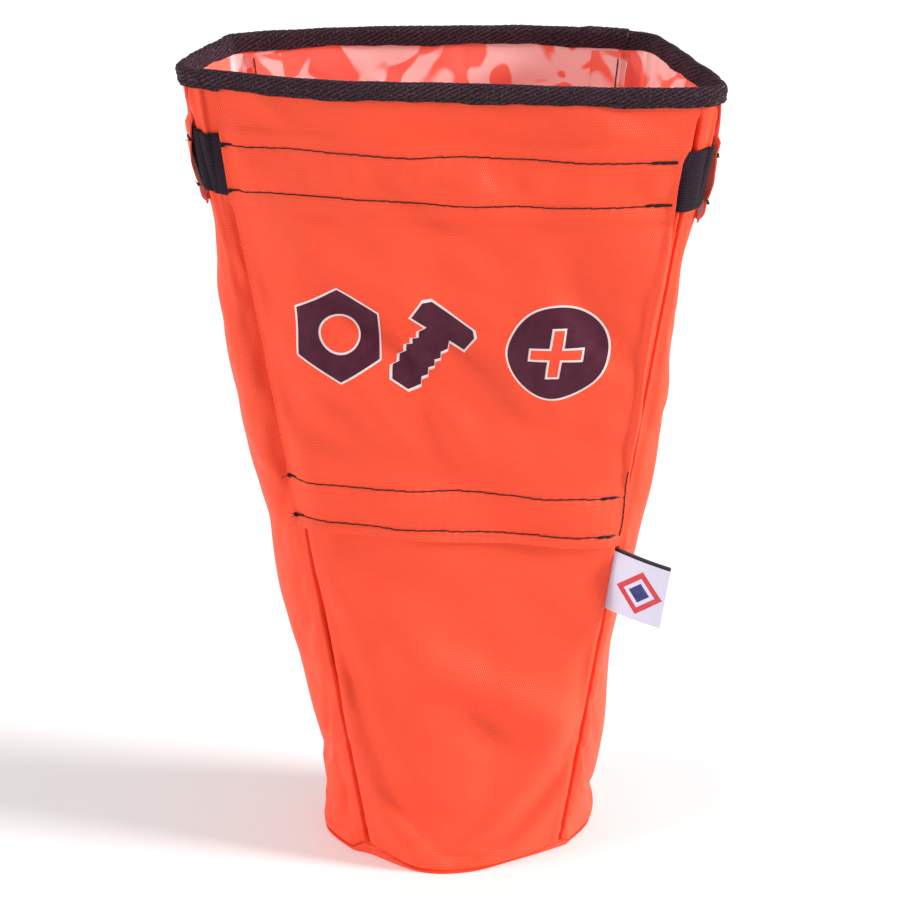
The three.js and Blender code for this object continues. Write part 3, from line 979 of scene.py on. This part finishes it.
def binding_profile():
    """[out, z] round the folded tape: the outside over the top, then back along the inside."""
    inner, outer = -(FABRIC / 2 + 0.15), 0.75 + FABRIC / 2 + 0.3
    middle, radius = (inner + outer) / 2, (outer - inner) / 2 + BINDING_TAPE
    low = HEIGHT - BINDING_DEPTH
    crown = HEIGHT - radius
    outside = [(middle - radius, z) for z in np.linspace(low + 0.3, crown, 12)]
    for angle in np.linspace(math.pi, 0, 20)[1:-1]:
        outside.append((middle + radius * math.cos(angle), crown + radius * math.sin(angle)))
    outside += [(middle + radius, z) for z in np.linspace(crown, low + 0.3, 12)]
    inside = [(outer + 0.3, low), (outer, low + 0.8), (outer, crown), (inner, crown), (inner, low + 0.8),
              (inner - 0.3, low)]
    return outside, inside, middle, crown


LAP_START, LAP_LENGTH = 0.555, 15.0  # share of the way round, millimetres


def make_binding():
    outside, inside, middle, crown = binding_profile()
    stations, lengths, whole = arc_stations(HEIGHT, 1900)
    ribs = round(whole / RIB_SPACING)
    phase = 2 * math.pi * lengths * ribs / whole
    over = travelled(np.array(outside))
    from_lap = lengths - LAP_START * whole
    lap = 0.7 * smooth(0, 0.5, from_lap) * (1 - smooth(LAP_LENGTH, LAP_LENGTH + 4, from_lap))
    lump = 0.35 * np.sin(lengths / 13) * np.sin(lengths / 5.3) + 0.15 * np.sin(lengths / 2.9)
    columns = []
    profile = outside + inside
    for k, (out, z) in enumerate(profile):
        lift = lap + 0.3 * lump
        if k < len(outside):
            diagonal = phase + 2 * math.pi * over[k] / RIB_RISE
            lift = lift + 0.11 * np.sin(diagonal) + 0.05 * np.sin(phase * 2.7 + over[k] * 5)
        direction = np.array([out - middle, max(z - crown, 0)])
        direction /= max(np.linalg.norm(direction), 1e-6)
        wavy = 0.3 * np.sin(lengths / 9.5 + 1) + 0.2 * np.sin(lengths / 4.1) + 0.12 * np.sin(lengths / 1.7)
        hem = wavy * (1 - smooth(HEIGHT - BINDING_DEPTH, HEIGHT - 2.5, np.full_like(lengths, z)))
        below = min(z, HEIGHT - 0.5)
        points = skin(stations, np.full_like(stations, below) + hem, out + lift * direction[0])
        points[:, 2] += z - below + lift * direction[1] + rim_rise(stations)
        columns.append(points)
    grid = np.stack(columns, 1)
    count = len(profile)
    index = np.arange(grid.shape[0] * count).reshape(-1, count)
    following = np.roll(index, -1, axis=0)
    faces = np.stack([index, np.roll(index, -1, 1), np.roll(following, -1, 1), following], -1).reshape(-1, 4)
    piece = new_object("binding_tape_ring", grid.reshape(-1, 3), faces.tolist(), [tape])
    around_rim = np.repeat(lengths[:, None] * ribs * RIB_SPACING / whole, count, 1)
    up = np.tile(np.concatenate([over, over[-1] + np.arange(len(inside)) + 1]), (len(lengths), 1))
    set_uv(piece, np.stack([around_rim, up], -1).reshape(-1, 2) * MM)
    across_fold(piece)
    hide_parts("rim_binding")


make_binding()

# ---- Thread rows ----------------------------------------------------------------------------

def stitch_path(points, normals, bundle, pitch=STITCH_PITCH, radius=THREAD_RADIUS, dip=0.03):
    """Lays separate stitches along a dense line of points, each dipping in at its ends."""
    lengths = travelled(points)
    count = max(int(lengths[-1] / pitch), 1)
    for k in range(count):
        start = k * pitch + rng.uniform(-0.08, 0.08)
        end = start + pitch + 0.3
        along = np.linspace(start, min(end, lengths[-1]), 8)
        base = np.stack([np.interp(along, lengths, points[:, i]) for i in range(3)], 1)
        out = np.stack([np.interp(along, lengths, normals[:, i]) for i in range(3)], 1)
        arch = np.sin(np.linspace(0, math.pi, 8)) ** 0.5
        base[:, 2] += rng.uniform(-0.14, 0.14) + np.linspace(-0.12, 0.12, 8)
        centre = base + out * (radius * 0.7 * arch - dip * (1 - arch))[:, None]
        bundle.add(*tube(centre, radius * np.array([0.85, 0.95, 1, 1.05, 1.05, 1, 0.95, 0.85])))


def surface_line(surface, t, z):
    points = surface(t, z, 0)
    return points, surface(t, z, 1.0) - points


def knot(bundle, at, outward, size=0.85):
    """A few tangled turns of thread with short frayed ends."""
    outward = unit(outward)
    for _ in range(4):
        axis = rng.normal(size=3)
        first = unit(np.cross(axis, outward))
        second = np.cross(outward, first) * rng.uniform(0.5, 1) + outward * rng.uniform(-0.5, 0.5)
        turn = np.linspace(0, rng.uniform(4, 6), 12)
        loop = np.outer(np.cos(turn), first) + np.outer(np.sin(turn), second)
        bundle.add(*tube(at + outward * 0.35 + loop * size * rng.uniform(0.6, 1), 0.22, 5))
    for _ in range(3):
        heading = outward * rng.uniform(0.1, 0.5) + rng.normal(size=3) * 0.6
        steps = np.linspace(0, rng.uniform(1.2, 2.0), 6)
        bend = np.outer(steps ** 2, rng.normal(size=3)) * 0.12
        bundle.add(*tube(at + np.outer(steps, heading) + bend, 0.14, 5))


def sewn_row(name, ends, z, surface, tack=9.0, knots=()):
    """A row round the wall at one height, doubled at its far end where it is backtacked."""
    bundle = Bundle()
    t = np.linspace(*ends, 500)
    z = z + 0.2 * np.sin(t * 3.7) + 0.1 * np.sin(t * 9.1 + z)
    points, normals = surface_line(surface, t, z)
    stitch_path(points, normals, bundle)
    lengths = travelled(points)
    doubled = lengths > lengths[-1] - tack
    for shift in (0.3, -0.25):
        again = points[doubled] + np.array([0, 0, shift])
        stitch_path(again[1:], normals[doubled][1:], bundle, pitch=3.1, radius=THREAD_RADIUS * 1.35)
    doubled = lengths < tack * 0.5
    again = points[doubled] + np.array([0, 0, 0.3])
    stitch_path(again, normals[doubled], bundle, pitch=3.3, radius=THREAD_RADIUS * 1.3)
    for end in knots:
        knot(bundle, points[end], normals[end])
    piece = bundle.make(name + "_stitches", thread)
    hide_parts(name)
    return piece


def make_rows():
    low, high = ROWS_OVER_WEBBING
    for place, z in (("lower", low), ("upper", high)):
        left, right = (float(np.interp(z, *table)) for table in (apron_left, apron_right))
        ends = (left + 0.03, right - 0.05)
        row = sewn_row(f"apron_thread_{place}", ends, z, on_apron, tack=10, knots=(0,))
        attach(row, "front_wall")
        start, end = (float(np.interp(z, *table)) for table in (yoke_start, yoke_end))
        row = sewn_row(f"yoke_thread_{place}", (start + 0.03, end - 0.03), z, on_yoke, tack=6, knots=(0, -1))
        across_fold(row)
    for place, z in (("lower", HEM_ROWS[0]), ("upper", HEM_ROWS[1])):
        left, right = (float(np.interp(z, *table)) for table in (apron_left, apron_right))
        row = sewn_row(f"hem_thread_{place}", (left + 0.03, right - 0.08), z, on_apron, tack=9, knots=(0,))
        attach(row, "front_wall")


def row_along(name, surface, t, z, pitch=STITCH_PITCH):
    bundle = Bundle()
    points, normals = surface_line(surface, t, z)
    stitch_path(points, normals, bundle, pitch=pitch)
    piece = bundle.make(name + "_stitches", thread)
    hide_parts(name)
    return piece


def on_binding(t, z, out):
    points = skin(t, z, 0.75 + FABRIC / 2 + 0.25 + BINDING_TAPE + out)
    points[..., 2] += rim_rise(t)
    return points


def inside_wall(t, z, out):
    return skin(t, z, tuck(t, z) - FABRIC / 2 - out)


def make_plain_rows():
    z = np.linspace(HEM_ROWS[0] - 0.5, HEM_ROWS[1] + 12, 200)
    side = row_along("hem_thread_side", on_apron, np.interp(z, *apron_right) - 0.055, z, pitch=3.1)
    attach(side, "front_wall")
    t = np.linspace(0, ALL_ROUND, 1200)
    across_fold(row_along("binding_thread", on_binding, t, np.full_like(t, HEIGHT - BINDING_DEPTH + 1.5)))
    across_fold(row_along("base_seam_thread", inside_wall, t, base_lift(t) + 4))


make_rows()
make_plain_rows()

# ---- Seam allowances inside -----------------------------------------------------------------

def make_allowance(corner, seam, side, body):
    """The turned-in edge of a corner seam, pressed flat to one side inside and topstitched."""
    def lying(share, z, out):
        distance = ALLOWANCE_START + ALLOWANCE * share
        across = station_length(np.full_like(z, seam + side * 0.2), z)
        ripple = 0.3 * share ** 2 * (1 + np.sin(z / 13 + seam))
        t = seam + side * distance / across
        return skin(t, z, tuck(t, z) - (FABRIC * 1.5 + 0.25 + ripple) - out)

    heights = np.linspace(9, HEIGHT - BINDING_DEPTH - 0.3, 120)
    share, z = np.meshgrid(np.linspace(0, 1, 14)[::-side], heights, indexing="ij")
    near, far = lying(share, z, 0), lying(share, z, FABRIC)
    flap = sheet_from_grids(f"seam_allowance_{corner}", near, far, [lining, lining])
    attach(flap, body)
    z = np.linspace(11, HEIGHT - BINDING_DEPTH - 1.5, 500)
    row = row_along(f"seam_thread_{corner}", lambda share, z, out: lying(share, z, FABRIC + out),
                    np.full_like(z, 0.12), z)
    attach(row, body)


make_allowance("front_left", 0, 1, "front_wall")
make_allowance("front_right", 4, -1, "front_wall")
make_allowance("back_right", 8, 1, "pouch")
make_allowance("back_left", 12, -1, "pouch")

# ---- Emblems --------------------------------------------------------------------------------

def bolt_outline(grow):
    head_half, head_low, head_high, chamfer = 11.6 + grow, 8.2 - grow, 17 + grow, 2.4
    shank_half, tooth, pitch = 6.3 + grow, 1.4, 4.6
    right = [(head_half - chamfer, head_high), (head_half, head_high - chamfer), (head_half, head_low),
             (shank_half - tooth, head_low)]
    for turn in range(5):
        z = head_low - 1.2 - turn * pitch
        right += [(shank_half, z - pitch * 0.35), (shank_half - tooth, z - pitch * 0.85)]
    right.append((shank_half - tooth - 1.4, -17.4 - grow))
    return [[(-x, z) for x, z in reversed(right)] + right]


def circle(radius, count=64, start=0.0):
    turns = start + np.linspace(0, 2 * math.pi, count, endpoint=False)
    return [(radius * math.cos(a), radius * math.sin(a)) for a in turns]


def nut_outline(grow):
    return [circle(17.4 + grow * 1.15, 6, math.pi / 2), circle(7.6 - grow)]


def screw_outline(grow):
    long, half = 9.6 - grow, 2.6 - grow
    cross = [(half, half), (long, half), (long, -half), (half, -half), (half, -long), (-half, -long),
             (-half, -half), (-long, -half), (-long, half), (-half, half), (-half, long), (half, long)]
    return [circle(17.6 + grow, 96), cross]


def filled_outline(loops, cell=1.6):
    """A flat filled shape, cut into small cells so that it can follow the cloth."""
    curve = bpy.data.curves.new("outline", "CURVE")
    curve.dimensions = "2D"
    curve.fill_mode = "BOTH"
    for loop in loops:
        spline = curve.splines.new("POLY")
        spline.points.add(len(loop) - 1)
        spline.points.foreach_set("co", [v for x, z in loop for v in (x, z, 0, 1)])
        spline.use_cyclic_u = True
    holder = bpy.data.objects.new("outline", curve)
    mesh = bpy.data.meshes.new_from_object(holder)
    shape = bmesh.new()
    shape.from_mesh(mesh)
    bpy.data.objects.remove(holder)
    bmesh.ops.remove_doubles(shape, verts=shape.verts, dist=1e-4)
    low = [min(v.co[i] for v in shape.verts) for i in (0, 1)]
    high = [max(v.co[i] for v in shape.verts) for i in (0, 1)]
    for axis in (0, 1):
        normal = Vector((1, 0, 0)) if axis == 0 else Vector((0, 1, 0))
        for place in np.arange(low[axis] + cell, high[axis], cell):
            everything = shape.verts[:] + shape.edges[:] + shape.faces[:]
            bmesh.ops.bisect_plane(shape, geom=everything, plane_co=normal * place, plane_no=normal)
    bmesh.ops.recalc_face_normals(shape, faces=shape.faces)
    shape.verts.index_update()
    points = np.array([v.co[:2] for v in shape.verts])
    faces = [[v.index for v in f.verts] for f in shape.faces]
    if sum(f.normal.z for f in shape.faces) < 0:
        faces = [f[::-1] for f in faces]
    border = [(e.verts[0].index, e.verts[1].index, e) for e in shape.edges if len(e.link_faces) == 1]
    directed = []
    for a, b, edge in border:
        ring = faces[edge.link_faces[0].index]
        place = ring.index(a)
        directed.append((a, b) if ring[(place + 1) % len(ring)] == b else (b, a))
    shape.free()
    return points, faces, directed


def film(name, loops, place, turn, out, thickness, material):
    """A thin solid film with that outline, laid on the apron."""
    points, faces, border = filled_outline(loops)
    station, height = place
    turned = np.stack([points[:, 0] * math.cos(turn) - points[:, 1] * math.sin(turn),
                       points[:, 0] * math.sin(turn) + points[:, 1] * math.cos(turn)], 1)
    z = height + turned[:, 1]
    here = wall(np.array([station]), np.array([height]))
    ahead = wall(np.array([station + 0.05]), np.array([height]))
    per_station = np.linalg.norm(ahead - here) / 0.05
    t = station + turned[:, 0] / per_station
    top = on_apron(t, z, out + thickness)
    bottom = on_apron(t, z, out)
    count = len(points)
    solid = [tuple(f) for f in faces] + [tuple(i + count for i in f[::-1]) for f in faces]
    solid += [(b, a, a + count, b + count) for a, b in border]
    piece = new_object(name, np.concatenate([top, bottom]), solid, [material])
    set_uv(piece, np.tile(np.stack([turned[:, 0] + 40, z], 1) * MM, (2, 1)))
    return piece


EMBLEM_SLOPE = math.radians(-2.2)
FILM = 0.08  # thickness of the transfer film
EMBLEMS = {  # outline, station, height and turn of each
    "emblem_nut": (nut_outline, 0.8, 229.0, 0),
    "emblem_bolt": (bolt_outline, 1.64, 224.2, math.radians(-35)),
    "emblem_screw": (screw_outline, 2.97, 224.0, 0),
}


def make_emblems():
    for node, (outline, station, height, turn) in EMBLEMS.items():
        place, turn = (station, height), EMBLEM_SLOPE + turn
        rim = film(f"{node}_outline_film", outline(0.8), place, turn, 0.05, FILM, outline_film)
        face = film(f"{node}_film", outline(0), place, turn, 0.16, FILM, print_film)
        pairs = ((rim, f"{node}_outline", "emblem_outline"), (face, node, "emblem_print"))
        for piece, stands_for, finish in pairs:
            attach(piece, "front_wall")
            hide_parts(stands_for)


make_emblems()

# ---- Label ----------------------------------------------------------------------------------

LABEL_WIDTH, LABEL_HEIGHT = 22.5, 25.4
LABEL_SEWN_IN = 2.2
LABEL_RIBBON = 0.28  # thickness
LABEL_YAW = math.radians(-20)
DIAMOND_CENTRE = (12.1, -0.6)


def label_frame():
    """Root point, across and up directions of the label, from its CAD solid's hinge."""
    joint = next(j for j in frame["joints"] if j["name"] == "label_swing")
    root = np.array(joint["pos_m"]) / MM
    up = unit(np.array(joint["axis"], float))
    sideways = np.array([math.cos(LABEL_YAW), math.sin(LABEL_YAW), 0])
    back = unit(np.cross(up, sideways))
    return root, np.cross(back, up), up, back


def label_points(x, y, out):
    """Label surface: x across from the seam, y up, out towards the viewer; it bows gently."""
    root, across, up, back = label_frame()
    share = x / LABEL_WIDTH
    bow = 1.6 * np.sin(share * math.pi * 0.9) + 0.8 * share ** 2 * np.sin((y / LABEL_HEIGHT + 0.5) * 2.2)
    droop = -1.2 * share ** 2
    point = root + across * x[..., None] + up * (y + droop)[..., None]
    return point - back * (bow + out)[..., None]


def label_sheet(name, width, low, high, out, material):
    x, y = np.meshgrid(np.linspace(-LABEL_SEWN_IN, width, 34), np.linspace(low, high, 34), indexing="ij")
    front, back = (label_points(x, y, out + side * LABEL_RIBBON / 2) for side in (1, -1))
    return sheet_from_grids(name, front, back, [material])


def label_diamond(name, radius, hole, out, material):
    """A woven diamond, open in the middle when it has a hole."""
    turn = np.linspace(0, 2 * math.pi, 49)
    stretch = 1 / (np.abs(np.cos(turn)) + np.abs(np.sin(turn)))
    reach, _ = np.meshgrid(np.linspace(1, max(hole / radius, 0.02), 9), turn)
    x = DIAMOND_CENTRE[0] + radius * reach * (np.cos(turn) * stretch)[:, None]
    y = DIAMOND_CENTRE[1] + radius * reach * (np.sin(turn) * stretch)[:, None]
    x, y = x[:-1], y[:-1]
    front, back = label_points(x, y, out + 0.06), label_points(x, y, out)
    return sheet_from_grids(name, front, back, [material], closed=True)


def make_label():
    half = LABEL_HEIGHT / 2
    front = label_sheet("label_front", LABEL_WIDTH, -half, half, 0.0, label_satin)
    behind = label_sheet("label_behind", LABEL_WIDTH - 0.3, -half + 0.5, half + 1.3, -0.75, label_dark)
    pieces = [front, behind]
    pieces.append(label_diamond("label_diamond_ring", 9.4, 6.4, 0.12, label_red))
    pieces.append(label_diamond("label_diamond_heart", 4.2, 0, 0.12, label_navy))
    for piece in pieces[2:]:
        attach(piece, "label")
    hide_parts("label_tab")
    for piece in (front, behind):
        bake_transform(piece)


make_label()
